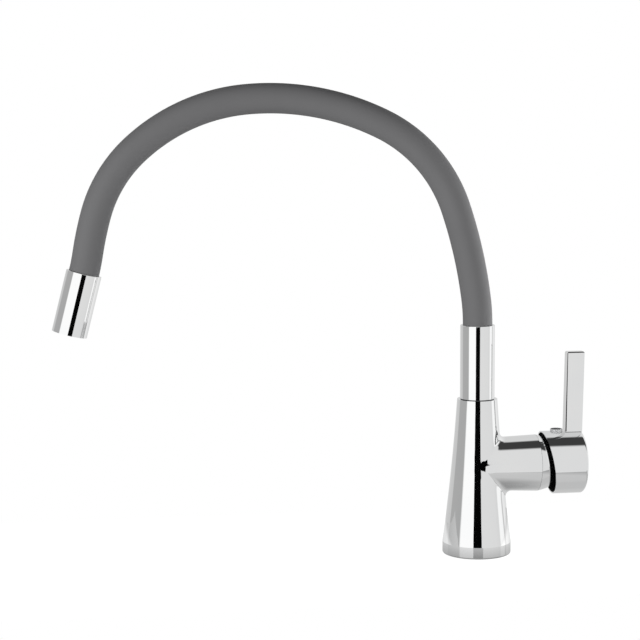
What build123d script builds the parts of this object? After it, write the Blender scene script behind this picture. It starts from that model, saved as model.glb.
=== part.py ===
"""A single-lever kitchen mixer tap with a side lever and a formable silicone spout.

Millimetres and degrees. The origin is the middle of the base on the deck, +Z is up, the spout
points to -X and the lever's arm to +X. Heights are above the deck, and stations along the arm
are distances in X from the body's own axis.
"""

import os
from math import cos, pi, radians, sin, tan

from build123d import *

os.makedirs("parts", exist_ok=True)

# Clearances
RUNNING = 0.08            # radial clearance of a turning fit
FITTED = 0.1              # clearance between pieces that are put together and stay
SLIDING = 0.15            # clearance of a guided slide
APART = 0.3               # gap between pieces that move past each other
FACE_FILM = 0.05          # film of grease between the two ceramic discs

# Body casting
BASE_RADIUS = 26.0
BASE_EDGE = 1.2
FOOT_HEIGHT = 9.0
FLARE_SAG = 0.9
BODY_HEIGHT = 118.8
BODY_TOP_RADIUS = 15.2
BODY_TOP_EDGE = 0.5
CAVITY_RADIUS = 18.5
CAVITY_DEPTH = 24.0
SEAL_INNER = 20.3
SEAL_OUTER = 23.0
SEAL_THICKNESS = 1.5

# Connections in the underside, sized for M10 x 1 hoses and an M8 stud
INLET_RADIUS = 4.5
INLET_DEPTH = 12.0
INLET_BACK = 5.0
INLET_SPREAD = 8.0
STUD_RADIUS = 3.4
STUD_DEPTH = 14.0
STUD_FORWARD = 9.5
WATERWAY_RADIUS = 3.4
OUTLET_RADIUS = 4.0

# Side arm and cartridge chamber
ARM_HEIGHT = 68.0
ARM_RADIUS = 21.5
ARM_ROOT_RADIUS = 19.85
ARM_SHOULDER = 3.7
ARM_ROOT_ROUND = 36.0
ARM_ROOT_TURN = 15.0
ARM_FILLET = 4.5
CHAMBER_RADIUS = 17.6
CHAMBER_FLOOR = 12.0
INLET_PORT_DROP = 5.0
OUTLET_PORT_RISE = 8.5
PEG_RADIUS = 2.0
PEG_LENGTH = 3.0
PEG_SPREAD = 12.5
PEG_RISE = 5.0

# Cartridge, stacked outwards from the chamber's floor
SEAL_STAND = 0.2
PORT_SEAL_WIDTH = 1.8
PORT_SEAL_DEPTH = 1.0
BASE_PLATE = 3.0
FIXED_DISC = 3.0
FIXED_DISC_RADIUS = 14.8
MOVING_DISC = 3.0
MOVING_DISC_RADIUS = 11.0
MIXING_RADIUS = 7.0
MIXING_DEPTH = 1.6
CARRIER = 5.0
CARRIER_HALF_WIDTH = 8.0
POCKET_FLOOR = 0.9
TURRET_DISC = 8.5
TURRET_RADIUS = 15.2
TURRET_NECK_RADIUS = 9.4
HOUSING_WALL = 1.9
HOUSING_END = 3.0
HOUSING_NECK = 11.0
HOUSING_NECK_WALL = 2.0
NUT_FLANGE = 3.6
NUT_HEX = 7.0
NUT_HEX_FLATS = 27.0
NUT_BORE = 12.0

# Spindle: the tongue tilts on its pin and its ball pushes the moving disc
PIVOT_RISE = 6.95
SPINDLE_ARM = 17.0
LIFT_ANGLE = 24.0
BALL_RADIUS = 2.5
TONGUE_WIDTH = 6.0
TONGUE_THICKNESS = 4.4
PIN_RADIUS = 1.6
PIN_LENGTH = 18.2
SQUARE = 8.0
SQUARE_IN_RIM = 0.8
SQUARE_END_INSET = 9.45
TONGUE_SLOT = 6.4
TONGUE_SLOT_LOW = 2.8
TONGUE_SLOT_HIGH = 9.9

# Trim ring between the arm and the handle
SEAM = 0.15
TRIM_SPIGOT = 3.7
TRIM_LENGTH = 11.2
TRIM_END_RADIUS = 18.2
TRIM_BORE = 16.5
TRIM_SAG = 0.4

# Handle: a cap over the cartridge with an upright bar
HANDLE_RADIUS = 24.0
HANDLE_WALL = 1.7
HANDLE_RIM_WALL = 1.0
HANDLE_LENGTH = 26.65
HANDLE_END_WALL = 3.0
HANDLE_EDGE = 2.0
RIM_OVERLAP = 2.15
RIM_SLANT = 9.5
BOSS_IN_RIM = 2.7
BOSS_RADIUS = 7.6
BAR_SETBACK = 0.7
BAR_FOOT_DEPTH = 13.1
BAR_TOP_DEPTH = 13.4
BAR_LEAN = 1.7
BAR_REACH = 85.2
BAR_FOOT_WIDTH = 9.0
BAR_TOP_WIDTH = 7.7
BAR_FOOT_EASE = 1.0
BAR_TOP_EASE = 0.45
EASE_ANGLE = 12.0
BAR_TOP_BEVEL = 0.8
BAR_FOOT_FILLET = 1.0
INDEX_SETBACK = 5.65
INDEX_RADIUS = 4.65
INDEX_RISE = 1.8
INDEX_SEAT = 3.4
INDEX_RIM = 0.5
INDEX_RECESS = 0.1
SCREW_RADIUS = 2.4
SCREW_LENGTH = 6.0

# Spout: radius and turn of each arc, from the collar to the nozzle
START_RADIUS = 151.0
START_TURN = 7.4
LEAN_RADIUS = 353.0
LEAN_TURN = 11.4
SHOULDER_RADIUS = 109.0
SHOULDER_TURN = 45.1
CROWN_RADIUS = 193.0
CROWN_TURN = 31.3
FALL_RADIUS = 139.0
FALL_TURN = 37.7
ELBOW_RADIUS = 101.0
ELBOW_TURN = 31.5
DROP_RADIUS = 268.0
DROP_TURN = 6.1
TIP_RADIUS = 171.0
TIP_TURN = -4.9

# Spout's swivel and hose
SPOUT_BORE_RADIUS = 10.5
SPOUT_BORE_DEPTH = 28.8
BUSH_RADIUS = 12.4
BUSH_DEPTH = 5.0
BUSH_FLANGE = 0.4
BUSH_FLANGE_RADIUS = 12.7
RETAINER_DROP = 11.3
RETAINER_THICKNESS = 1.6
RETAINER_INNER = 9.5
RETAINER_OUTER = 11.5
RETAINER_GAP_WIDTH = 6.0
O_RING_RADIUS = 1.1
O_RING_PITCH = 5.5
NIPPLE_FOOT_GAP = 1.0
NIPPLE_BORE = 5.0
NIPPLE_FLANGE = 5.0
BARB_LENGTH = 15.0
BARB_BORE = 2.4
COLLAR_RADIUS = 13.05
COLLAR_LENGTH = 55.9
COLLAR_EDGE = 0.5
RISER_ABOVE_COLLAR = 0.5
SLEEVE_RADIUS = 11.15
SLEEVE_WALL = 3.25
SLEEVE_GRIP = 25.0
CORE_WALL = 2.4
CORE_HINGE_GAP = 5.0
TUBE_RADIUS = 5.0
TUBE_WALL = 1.5

# Nozzle: depths are along its own axis from its upper rim
NOZZLE_RADIUS = 13.05
NOZZLE_LENGTH = 46.0
NOZZLE_LIP = 1.2
NOZZLE_TOP_EDGE = 0.4
SLEEVE_IN_NOZZLE = 18.0
FERRULE_LENGTH = 11.0
INSERT_LENGTH = 7.0
WASHER_LENGTH = 1.5
AERATOR_RECESS = 0.8
AERATOR_WALL = 1.6
AERATOR_LEDGE = 1.0
AERATOR_NOTCH = 3.0
AERATOR_NOTCH_DEPTH = 0.9
SCREEN_THICKNESS = 1.4
SCREEN_HOLE = 1.5
SCREEN_PITCH = 4.0
SCREEN_ROWS = 5

# Section planes: the first coordinate is a radius, the second runs along the axis
UPRIGHT = Plane.XZ
FLARE_SECTION = Plane((0, 0, 0), x_dir=(-1, 0, 0), z_dir=(0, 1, 0))
ARM_AXIS = Axis((0, 0, ARM_HEIGHT), (1, 0, 0))
ARM_SECTION = Plane((0, 0, ARM_HEIGHT), x_dir=(0, 0, 1), z_dir=(0, 1, 0))


def across_arm(station):
    """Plane square to the arm at a station, with the first coordinate along Y and the second up."""
    return Plane((station, 0, ARM_HEIGHT), x_dir=(0, 1, 0), z_dir=(1, 0, 0))


def turn(section, outline, mode=Mode.ADD):
    """Revolve a closed outline of (radius, distance) points about the section plane's second axis."""
    with BuildSketch(section) as profile:
        with BuildLine():
            Polyline(*outline, close=True)
        make_face()
    revolve(profile.sketch, axis=Axis(section.origin, section.y_dir), mode=mode)


def turn_ring(section, inner, outer, start, end, mode=Mode.ADD):
    """Turn a plain ring, or a disc where the inner radius is 0."""
    turn(section, [(inner, start), (outer, start), (outer, end), (inner, end)], mode)


def drill(plane, spots, radius, depth):
    """Cut round holes from a plane along its normal."""
    with BuildSketch(plane) as mouths:
        with Locations(*spots):
            Circle(radius)
    extrude(mouths.sketch, amount=depth, mode=Mode.SUBTRACT)


def keep(builder, name):
    """Label a finished piece and write it."""
    builder.part.label = name
    export_step(builder.part, f"parts/{name}.step")


# Stations of the pieces in and on the arm
PLATE_START = CHAMBER_FLOOR + SEAL_STAND
FIXED_START = PLATE_START + BASE_PLATE
MOVING_START = FIXED_START + FIXED_DISC + FACE_FILM
CARRIER_START = MOVING_START + MOVING_DISC
CARRIER_END = CARRIER_START + CARRIER
TURRET_START = CARRIER_END + APART
TURRET_SHOULDER = TURRET_START + TURRET_DISC
HOUSING_SHOULDER = TURRET_SHOULDER + APART
NUT_START = HOUSING_SHOULDER + HOUSING_END
HOUSING_TOP = NUT_START + HOUSING_NECK
TURRET_TOP = HOUSING_TOP + APART
PIVOT_STATION = TURRET_SHOULDER + PIVOT_RISE
TIP_STATION = PIVOT_STATION - SPINDLE_ARM
SPIGOT_START = NUT_START + NUT_FLANGE + FITTED
ARM_END = SPIGOT_START + TRIM_SPIGOT
TRIM_END = ARM_END + TRIM_LENGTH
RIM_STATION = TRIM_END - RIM_OVERLAP
HANDLE_END = RIM_STATION + HANDLE_LENGTH
BOSS_START = RIM_STATION + BOSS_IN_RIM
SQUARE_START = RIM_STATION - SQUARE_IN_RIM
SQUARE_END = HANDLE_END - SQUARE_END_INSET
BAR_OUTER = HANDLE_END - BAR_SETBACK
BAR_INNER = BAR_OUTER - BAR_FOOT_DEPTH
INDEX_STATION = BAR_INNER - INDEX_SETBACK

# Radii, travel and ports of the cartridge
HOUSING_RADIUS = CHAMBER_RADIUS - FITTED
HOUSING_BORE = HOUSING_RADIUS - HOUSING_WALL
NECK_BORE = TURRET_NECK_RADIUS + RUNNING
DISC_TRAVEL = SPINDLE_ARM * sin(radians(LIFT_ANGLE))
DISC_OFFSET = DISC_TRAVEL / 2
PORTS = [(INLET_SPREAD, -INLET_PORT_DROP), (-INLET_SPREAD, -INLET_PORT_DROP), (0, OUTLET_PORT_RISE)]
PORT_RADII = [WATERWAY_RADIUS, WATERWAY_RADIUS, OUTLET_RADIUS]
PEGS = [(PEG_SPREAD, PEG_RISE), (-PEG_SPREAD, PEG_RISE)]

# Heights on the body's own axis
SPOUT_BORE_FLOOR = BODY_HEIGHT - SPOUT_BORE_DEPTH
RETAINER_HEIGHT = BODY_HEIGHT - RETAINER_DROP
O_RING_HEIGHTS = [RETAINER_HEIGHT - O_RING_PITCH, RETAINER_HEIGHT - 2 * O_RING_PITCH]
COLLAR_FOOT = BODY_HEIGHT + BUSH_FLANGE + FITTED
COLLAR_TOP = COLLAR_FOOT + COLLAR_LENGTH
HOSE_FOOT = COLLAR_FOOT + NIPPLE_FLANGE

# Radii of the spout's layers
SLEEVE_BORE = SLEEVE_RADIUS - SLEEVE_WALL
CORE_RADIUS = SLEEVE_BORE - APART
CORE_BORE = CORE_RADIUS - CORE_WALL
TUBE_BORE = TUBE_RADIUS - TUBE_WALL
BARB_RADIUS = TUBE_BORE - FITTED
COLLAR_BORE = SLEEVE_RADIUS + SLIDING
FERRULE_RADIUS = COLLAR_BORE - FITTED
FERRULE_BORE = CORE_RADIUS + FITTED
NIPPLE_RADIUS = SPOUT_BORE_RADIUS - RUNNING



def bar_section(height, inner, depth, width, ease):
    """Section of the handle's bar, with the broad faces eased off towards their edges."""
    drop = ease * tan(radians(EASE_ANGLE))
    corner = [(inner, width / 2 - drop), (inner + ease, width / 2)]
    far_corner = [(2 * inner + depth - x, y) for x, y in reversed(corner)]
    back = corner + far_corner
    with BuildSketch(Plane.XY.offset(height)) as section:
        with BuildLine():
            Polyline(*back, *[(x, -y) for x, y in reversed(back)], close=True)
        make_face()
    return section.sketch


# The hose's centreline: a straight riser, the bends, and a straight end inside the nozzle
SPOUT_BENDS = [
    (START_RADIUS, START_TURN),
    (LEAN_RADIUS, LEAN_TURN),
    (SHOULDER_RADIUS, SHOULDER_TURN),
    (CROWN_RADIUS, CROWN_TURN),
    (FALL_RADIUS, FALL_TURN),
    (ELBOW_RADIUS, ELBOW_TURN),
    (DROP_RADIUS, DROP_TURN),
    (TIP_RADIUS, TIP_TURN),
]
SHOULDER_BEND = 2
ELBOW_BEND = 5
CORE_IN_NOZZLE = SLEEVE_IN_NOZZLE + FERRULE_LENGTH
RISER = COLLAR_TOP + RISER_ABOVE_COLLAR - HOSE_FOOT
BEND_LENGTHS = [radius * radians(abs(turned)) for radius, turned in SPOUT_BENDS]
ROUTE = [(RISER, 0.0)]
for bend_length, (bend_radius, bend_turn) in zip(BEND_LENGTHS, SPOUT_BENDS):
    ROUTE.append((bend_length, (1 if bend_turn > 0 else -1) / bend_radius))
NOZZLE_START = RISER + sum(BEND_LENGTHS)
ROUTE.append((CORE_IN_NOZZLE, 0.0))


def along(distance):
    """X, Z and heading of the hose's centreline, where the heading turns from +Z towards -X."""
    x, z, heading = 0.0, HOSE_FOOT, 0.0
    for length, curve in ROUTE:
        step = min(distance, length)
        if curve:
            ahead = heading + curve * step
            x += (cos(ahead) - cos(heading)) / curve
            z += (sin(ahead) - sin(heading)) / curve
            heading = ahead
        else:
            x -= step * sin(heading)
            z += step * cos(heading)
        distance -= step
        if distance <= 0:
            break
    return x, z, heading


def spot(distance):
    """Point of the hose's centreline at a distance from its foot."""
    x, z, heading = along(distance)
    return (x, 0, z)


def hose_layer(first, last, outer, inner):
    """Sweep one round layer of the hose between two distances along its centreline."""
    with BuildLine() as spine:
        run_start = 0.0
        for length, curve in ROUTE:
            low = max(first, run_start)
            high = min(last, run_start + length)
            if high > low and curve:
                ThreePointArc(spot(low), spot((low + high) / 2), spot(high))
            elif high > low:
                Line(spot(low), spot(high))
            run_start += length
    x, z, heading = along(first)
    with BuildSketch(Plane((x, 0, z), x_dir=(0, 1, 0), z_dir=(-sin(heading), 0, cos(heading)))) as section:
        Circle(outer)
        Circle(inner, mode=Mode.SUBTRACT)
    sweep(section.sketch, path=spine.line)


def bend_middle(bend):
    """Distance along the centreline to the middle of one bend."""
    return RISER + sum(BEND_LENGTHS[:bend]) + BEND_LENGTHS[bend] / 2


SHOULDER_PIVOT = bend_middle(SHOULDER_BEND)
OUTLET_PIVOT = bend_middle(ELBOW_BEND)
HOSE_END = NOZZLE_START + CORE_IN_NOZZLE
SLEEVE_START = COLLAR_TOP - SLEEVE_GRIP - HOSE_FOOT
SLEEVE_END = NOZZLE_START + SLEEVE_IN_NOZZLE

nozzle_x, nozzle_z, nozzle_heading = along(NOZZLE_START)
NOZZLE_DIRECTION = (-sin(nozzle_heading), 0, cos(nozzle_heading))
NOZZLE_AXIS = Axis((nozzle_x, 0, nozzle_z), NOZZLE_DIRECTION)
NOZZLE_SECTION = Plane(
    (nozzle_x, 0, nozzle_z), x_dir=(-cos(nozzle_heading), 0, -sin(nozzle_heading)), z_dir=(0, 1, 0)
)
INSERT_END = CORE_IN_NOZZLE + INSERT_LENGTH
WASHER_END = INSERT_END + WASHER_LENGTH
AERATOR_END = NOZZLE_LENGTH - AERATOR_RECESS

# Body casting: a flared foot with a round side arm
with BuildPart() as tap_body:
    with BuildSketch(FLARE_SECTION):
        with BuildLine():
            floor_line = Line((0, 0), (BASE_RADIUS, 0))
            band = Line(floor_line @ 1, (BASE_RADIUS, FOOT_HEIGHT))
            flare = SagittaArc(band @ 1, (BODY_TOP_RADIUS, BODY_HEIGHT), FLARE_SAG)
            top_line = Line(flare @ 1, (0, BODY_HEIGHT))
            Line(top_line @ 1, (0, 0))
        flare_face = make_face()
        outer_corners = flare_face.vertices().filter_by(lambda corner: corner.X > BODY_TOP_RADIUS / 2)
        fillet(outer_corners.sort_by(Axis.Y)[0], BASE_EDGE)
        fillet(outer_corners.sort_by(Axis.Y)[-1], BODY_TOP_EDGE)
    revolve(axis=Axis.Z)
    with BuildSketch(ARM_SECTION):
        with BuildLine():
            arm_side = Line((ARM_RADIUS, ARM_END), (ARM_ROOT_RADIUS, ARM_SHOULDER))
            root_round = JernArc(arm_side @ 1, arm_side % 1, ARM_ROOT_ROUND, -ARM_ROOT_TURN)
            root_line = Line(root_round @ 1, (0, (root_round @ 1).Y))
            axis_line = Line(root_line @ 1, (0, ARM_END))
            Line(axis_line @ 1, arm_side @ 0)
        make_face()
    revolve(axis=ARM_AXIS)
    fillet(tap_body.edges(Select.NEW), ARM_FILLET)
    turn_ring(UPRIGHT, 0, CAVITY_RADIUS, 0, CAVITY_DEPTH, Mode.SUBTRACT)
    turn_ring(UPRIGHT, SEAL_INNER - FITTED, SEAL_OUTER + FITTED, 0, SEAL_THICKNESS, Mode.SUBTRACT)
    inlet_spots = [(-INLET_BACK, INLET_SPREAD), (-INLET_BACK, -INLET_SPREAD)]
    drill(Plane.XY.offset(CAVITY_DEPTH), inlet_spots, INLET_RADIUS, INLET_DEPTH)
    drill(Plane.XY.offset(CAVITY_DEPTH), [(STUD_FORWARD, 0)], STUD_RADIUS, STUD_DEPTH)
    inlet_port_height = ARM_HEIGHT - INLET_PORT_DROP
    drill(Plane.XY.offset(CAVITY_DEPTH), inlet_spots, WATERWAY_RADIUS, inlet_port_height - CAVITY_DEPTH)
    drill(across_arm(-INLET_BACK), PORTS[:2], WATERWAY_RADIUS, CHAMBER_FLOOR + INLET_BACK)
    drill(across_arm(0), PORTS[2:], OUTLET_RADIUS, CHAMBER_FLOOR)
    peg_hole = PEG_LENGTH + FITTED
    drill(across_arm(CHAMBER_FLOOR - peg_hole), PEGS, PEG_RADIUS + FITTED, peg_hole)
    outlet_port_height = ARM_HEIGHT + OUTLET_PORT_RISE
    drill(Plane.XY.offset(outlet_port_height), [(0, 0)], OUTLET_RADIUS, SPOUT_BORE_FLOOR - outlet_port_height)
    turn_ring(ARM_SECTION, 0, CHAMBER_RADIUS, CHAMBER_FLOOR, ARM_END, Mode.SUBTRACT)
    turn_ring(UPRIGHT, 0, SPOUT_BORE_RADIUS, SPOUT_BORE_FLOOR, BODY_HEIGHT, Mode.SUBTRACT)
    turn_ring(UPRIGHT, 0, BUSH_RADIUS + FITTED, BODY_HEIGHT - BUSH_DEPTH, BODY_HEIGHT, Mode.SUBTRACT)
    groove_top = RETAINER_HEIGHT + RETAINER_THICKNESS + FITTED
    turn_ring(UPRIGHT, 0, RETAINER_OUTER + FITTED, RETAINER_HEIGHT - FITTED, groove_top, Mode.SUBTRACT)
keep(tap_body, "tap_body")

# Flat seal let into the underside
with BuildPart() as base_seal:
    turn_ring(UPRIGHT, SEAL_INNER, SEAL_OUTER, 0, SEAL_THICKNESS)
keep(base_seal, "base_seal")

# Cartridge base with its three ports, their seal seats and two locating pegs
with BuildPart() as cartridge_base:
    turn_ring(ARM_SECTION, 0, HOUSING_RADIUS, PLATE_START, FIXED_START)
    with BuildSketch(across_arm(CHAMBER_FLOOR - PEG_LENGTH)):
        with Locations(*PEGS):
            Circle(PEG_RADIUS)
    extrude(amount=PEG_LENGTH + SEAL_STAND)
    for port, port_radius in zip(PORTS, PORT_RADII):
        drill(across_arm(PLATE_START), [port], port_radius, BASE_PLATE)
        drill(across_arm(PLATE_START), [port], port_radius + PORT_SEAL_WIDTH + FITTED, PORT_SEAL_DEPTH)
keep(cartridge_base, "cartridge_base")

# Rubber seals round the ports
with BuildPart() as port_seals:
    with BuildSketch(across_arm(CHAMBER_FLOOR)):
        for port, port_radius in zip(PORTS, PORT_RADII):
            with Locations(port):
                Circle(port_radius + PORT_SEAL_WIDTH)
                Circle(port_radius, mode=Mode.SUBTRACT)
    extrude(amount=SEAL_STAND + PORT_SEAL_DEPTH)
keep(port_seals, "port_seals")

# Fixed ceramic disc
with BuildPart() as fixed_disc:
    turn_ring(ARM_SECTION, 0, FIXED_DISC_RADIUS, FIXED_START, FIXED_START + FIXED_DISC)
    for port, port_radius in zip(PORTS, PORT_RADII):
        drill(across_arm(FIXED_START), [port], port_radius, FIXED_DISC)
keep(fixed_disc, "fixed_disc")

# Moving ceramic disc with its mixing recess, drawn back to the shut position
with BuildPart() as moving_disc:
    with BuildSketch(across_arm(MOVING_START)):
        with Locations((0, -DISC_OFFSET)):
            Circle(MOVING_DISC_RADIUS)
    extrude(amount=MOVING_DISC)
    drill(across_arm(MOVING_START), [(0, -DISC_OFFSET)], MIXING_RADIUS, MIXING_DEPTH)
keep(moving_disc, "moving_disc")

# Carrier on the moving disc, with flat flanks and a pocket for the spindle's ball
with BuildPart() as disc_carrier:
    with BuildSketch(across_arm(CARRIER_START)):
        with Locations((0, -DISC_OFFSET)):
            Circle(MOVING_DISC_RADIUS)
            Rectangle(2 * CARRIER_HALF_WIDTH, 2 * MOVING_DISC_RADIUS, mode=Mode.INTERSECT)
    extrude(amount=CARRIER)
    drill(across_arm(CARRIER_START + POCKET_FLOOR), [(0, 0)], BALL_RADIUS + SLIDING, CARRIER - POCKET_FLOOR)
keep(disc_carrier, "disc_carrier")

# Cartridge housing: a cup with a neck
with BuildPart() as cartridge_housing:
    neck_radius = NECK_BORE + HOUSING_NECK_WALL
    turn(ARM_SECTION, [
        (HOUSING_BORE, FIXED_START),
        (HOUSING_RADIUS, FIXED_START),
        (HOUSING_RADIUS, NUT_START),
        (neck_radius, NUT_START),
        (neck_radius, HOUSING_TOP),
        (NECK_BORE, HOUSING_TOP),
        (NECK_BORE, HOUSING_SHOULDER),
        (HOUSING_BORE, HOUSING_SHOULDER),
    ])
keep(cartridge_housing, "cartridge_housing")

# Turret: turns in the housing, guides the carrier between two cheeks and holds the spindle's pin
with BuildPart() as spindle_turret:
    turn_ring(ARM_SECTION, 0, TURRET_RADIUS, TURRET_START, TURRET_SHOULDER)
    turn_ring(ARM_SECTION, 0, TURRET_NECK_RADIUS, TURRET_SHOULDER, TURRET_TOP)
    with BuildSketch(across_arm(CARRIER_START + APART)):
        Circle(TURRET_RADIUS)
        Rectangle(2 * (CARRIER_HALF_WIDTH + SLIDING), 2 * TURRET_RADIUS, mode=Mode.SUBTRACT)
    extrude(amount=TURRET_START - CARRIER_START - APART)
    slot_width = TONGUE_WIDTH + 2 * SLIDING
    with BuildSketch(across_arm(TURRET_SHOULDER)):
        Rectangle(slot_width, 2 * TONGUE_SLOT)
    extrude(amount=TURRET_TOP - TURRET_SHOULDER, mode=Mode.SUBTRACT)
    with BuildSketch(across_arm(TURRET_START)):
        with Locations((0, (TONGUE_SLOT_HIGH - TONGUE_SLOT_LOW) / 2)):
            Rectangle(slot_width, TONGUE_SLOT_HIGH + TONGUE_SLOT_LOW)
    extrude(amount=TURRET_DISC, mode=Mode.SUBTRACT)
    with BuildSketch(Plane.XZ):
        with Locations((PIVOT_STATION, ARM_HEIGHT)):
            Circle(PIN_RADIUS + RUNNING)
    extrude(amount=TURRET_NECK_RADIUS, both=True, mode=Mode.SUBTRACT)
keep(spindle_turret, "spindle_turret")

# Pin that the spindle tilts on
with BuildPart() as spindle_pin:
    with BuildSketch(Plane.XZ):
        with Locations((PIVOT_STATION, ARM_HEIGHT)):
            Circle(PIN_RADIUS)
    extrude(amount=PIN_LENGTH / 2, both=True)
keep(spindle_pin, "spindle_pin")

# Spindle: ball end, flat tongue with the pin's eye, and a square for the handle
with BuildPart() as spindle:
    with Locations((TIP_STATION, 0, ARM_HEIGHT)):
        Sphere(BALL_RADIUS)
    with BuildSketch(across_arm(TIP_STATION)):
        Rectangle(BALL_RADIUS, BALL_RADIUS)
    extrude(amount=TURRET_START + APART - TIP_STATION)
    with BuildSketch(across_arm(TURRET_START + APART)):
        Rectangle(TONGUE_WIDTH, TONGUE_THICKNESS)
    extrude(amount=SQUARE_START - TURRET_START - APART)
    with BuildSketch(across_arm(SQUARE_START)):
        Rectangle(SQUARE, SQUARE)
    extrude(amount=SQUARE_END - SQUARE_START)
    with BuildSketch(Plane.XZ):
        with Locations((PIVOT_STATION, ARM_HEIGHT)):
            Circle(PIN_RADIUS + RUNNING)
    extrude(amount=TONGUE_WIDTH, both=True, mode=Mode.SUBTRACT)
keep(spindle, "spindle")

# Brass nut that clamps the cartridge
with BuildPart() as cartridge_nut:
    turn_ring(ARM_SECTION, NUT_BORE, HOUSING_RADIUS, NUT_START, NUT_START + NUT_FLANGE)
    with BuildSketch(across_arm(NUT_START + NUT_FLANGE)):
        RegularPolygon(NUT_HEX_FLATS / 2, 6, major_radius=False)
        Circle(NUT_BORE, mode=Mode.SUBTRACT)
    extrude(amount=NUT_HEX)
keep(cartridge_nut, "cartridge_nut")

# Trim ring: a spigot in the arm's mouth and a tapering skirt
with BuildPart() as trim_ring:
    with BuildSketch(ARM_SECTION):
        with BuildLine():
            spigot = Polyline(
                (TRIM_BORE, TRIM_END),
                (TRIM_BORE, SPIGOT_START),
                (CHAMBER_RADIUS - FITTED, SPIGOT_START),
                (CHAMBER_RADIUS - FITTED, ARM_END + SEAM),
                (ARM_RADIUS, ARM_END + SEAM),
            )
            taper = SagittaArc(spigot @ 1, (TRIM_END_RADIUS, TRIM_END), -TRIM_SAG)
            Line(taper @ 1, spigot @ 0)
        make_face()
    revolve(axis=ARM_AXIS)
keep(trim_ring, "trim_ring")

# Handle: a hollow cap with a slanted rim, a boss for the spindle and the upright bar.
# Its bore widens to the rim, which has to pass over the trim ring's end as the lever lifts.
with BuildPart() as lever_handle:
    handle_bore = HANDLE_RADIUS - HANDLE_WALL
    end_wall_face = HANDLE_END - HANDLE_END_WALL
    with BuildSketch(ARM_SECTION):
        with Locations((HANDLE_RADIUS / 2, (ARM_END + HANDLE_END) / 2)):
            cap_half = Rectangle(HANDLE_RADIUS, HANDLE_END - ARM_END)
        fillet(cap_half.vertices().sort_by(Axis.X)[-2:].sort_by(Axis.Y)[-1], HANDLE_EDGE)
    revolve(axis=ARM_AXIS)
    bar_end = ARM_HEIGHT + BAR_REACH
    top_inner = BAR_INNER + BAR_LEAN
    bevelled_depth = BAR_TOP_DEPTH - 2 * BAR_TOP_BEVEL
    bevelled_width = BAR_TOP_WIDTH - 2 * BAR_TOP_BEVEL
    loft([
        bar_section(ARM_HEIGHT, BAR_INNER, BAR_FOOT_DEPTH, BAR_FOOT_WIDTH, BAR_FOOT_EASE),
        bar_section(bar_end - BAR_TOP_BEVEL, top_inner, BAR_TOP_DEPTH, BAR_TOP_WIDTH, BAR_TOP_EASE),
        bar_section(bar_end, top_inner + BAR_TOP_BEVEL, bevelled_depth, bevelled_width, BAR_TOP_EASE),
    ], ruled=True)
    fillet(lever_handle.edges(Select.NEW), BAR_FOOT_FILLET)
    rim_normal = (cos(radians(RIM_SLANT)), 0, sin(radians(RIM_SLANT)))
    split(bisect_by=Plane((RIM_STATION, 0, ARM_HEIGHT), z_dir=rim_normal), keep=Keep.TOP)
    rim_bore = HANDLE_RADIUS - HANDLE_RIM_WALL
    bore_outline = [(0, ARM_END), (rim_bore, ARM_END), (handle_bore, end_wall_face), (0, end_wall_face)]
    turn(ARM_SECTION, bore_outline, Mode.SUBTRACT)
    turn_ring(ARM_SECTION, 0, BOSS_RADIUS, BOSS_START, HANDLE_END - HANDLE_END_WALL / 2)
    tunnel_radius = SCREW_RADIUS + HANDLE_WALL
    with BuildSketch(Plane.XY.offset(ARM_HEIGHT)):
        with Locations((INDEX_STATION, 0)):
            Circle(tunnel_radius)
    extrude(amount=handle_bore)
    with BuildSketch(across_arm(SQUARE_START)):
        Rectangle(SQUARE + 2 * FITTED, SQUARE + 2 * FITTED)
    extrude(amount=SQUARE_END + FITTED - SQUARE_START, mode=Mode.SUBTRACT)
    drill(Plane.XY.offset(ARM_HEIGHT), [(INDEX_STATION, 0)], SCREW_RADIUS + FITTED, 2 * HANDLE_RADIUS)
    index_seat = ARM_HEIGHT + HANDLE_RADIUS - INDEX_SEAT
    drill(Plane.XY.offset(index_seat), [(INDEX_STATION, 0)], INDEX_RADIUS + FITTED, 2 * INDEX_SEAT)
keep(lever_handle, "lever_handle")

# Grub screw that clamps the handle on the spindle's square
with BuildPart() as lever_screw:
    with BuildSketch(Plane.XY.offset(ARM_HEIGHT + SQUARE / 2)):
        with Locations((INDEX_STATION, 0)):
            Circle(SCREW_RADIUS)
    extrude(amount=SCREW_LENGTH)
    with BuildSketch(Plane.XY.offset(ARM_HEIGHT + SQUARE / 2 + SCREW_LENGTH)):
        with Locations((INDEX_STATION, 0)):
            RegularPolygon(SCREW_RADIUS / 2, 6)
    extrude(amount=-SCREW_LENGTH / 2, mode=Mode.SUBTRACT)
keep(lever_screw, "lever_screw")

# Index cap over the screw: a bright cup and its grey disc
index_top = ARM_HEIGHT + HANDLE_RADIUS + INDEX_RISE
with BuildPart() as index_cap:
    with BuildSketch(Plane.XY.offset(index_seat)):
        with Locations((INDEX_STATION, 0)):
            Circle(INDEX_RADIUS)
    extrude(amount=index_top - index_seat)
    fillet(index_cap.edges().group_by(Axis.Z)[-1], INDEX_RIM / 2)
    disc_floor = index_top - INDEX_SEAT / 2
    drill(Plane.XY.offset(disc_floor), [(INDEX_STATION, 0)], INDEX_RADIUS - INDEX_RIM, INDEX_SEAT)
keep(index_cap, "index_cap")

with BuildPart() as index_disc:
    with BuildSketch(Plane.XY.offset(disc_floor)):
        with Locations((INDEX_STATION, 0)):
            Circle(INDEX_RADIUS - INDEX_RIM - FITTED)
    extrude(amount=INDEX_SEAT / 2 - INDEX_RECESS)
keep(index_disc, "index_disc")

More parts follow.
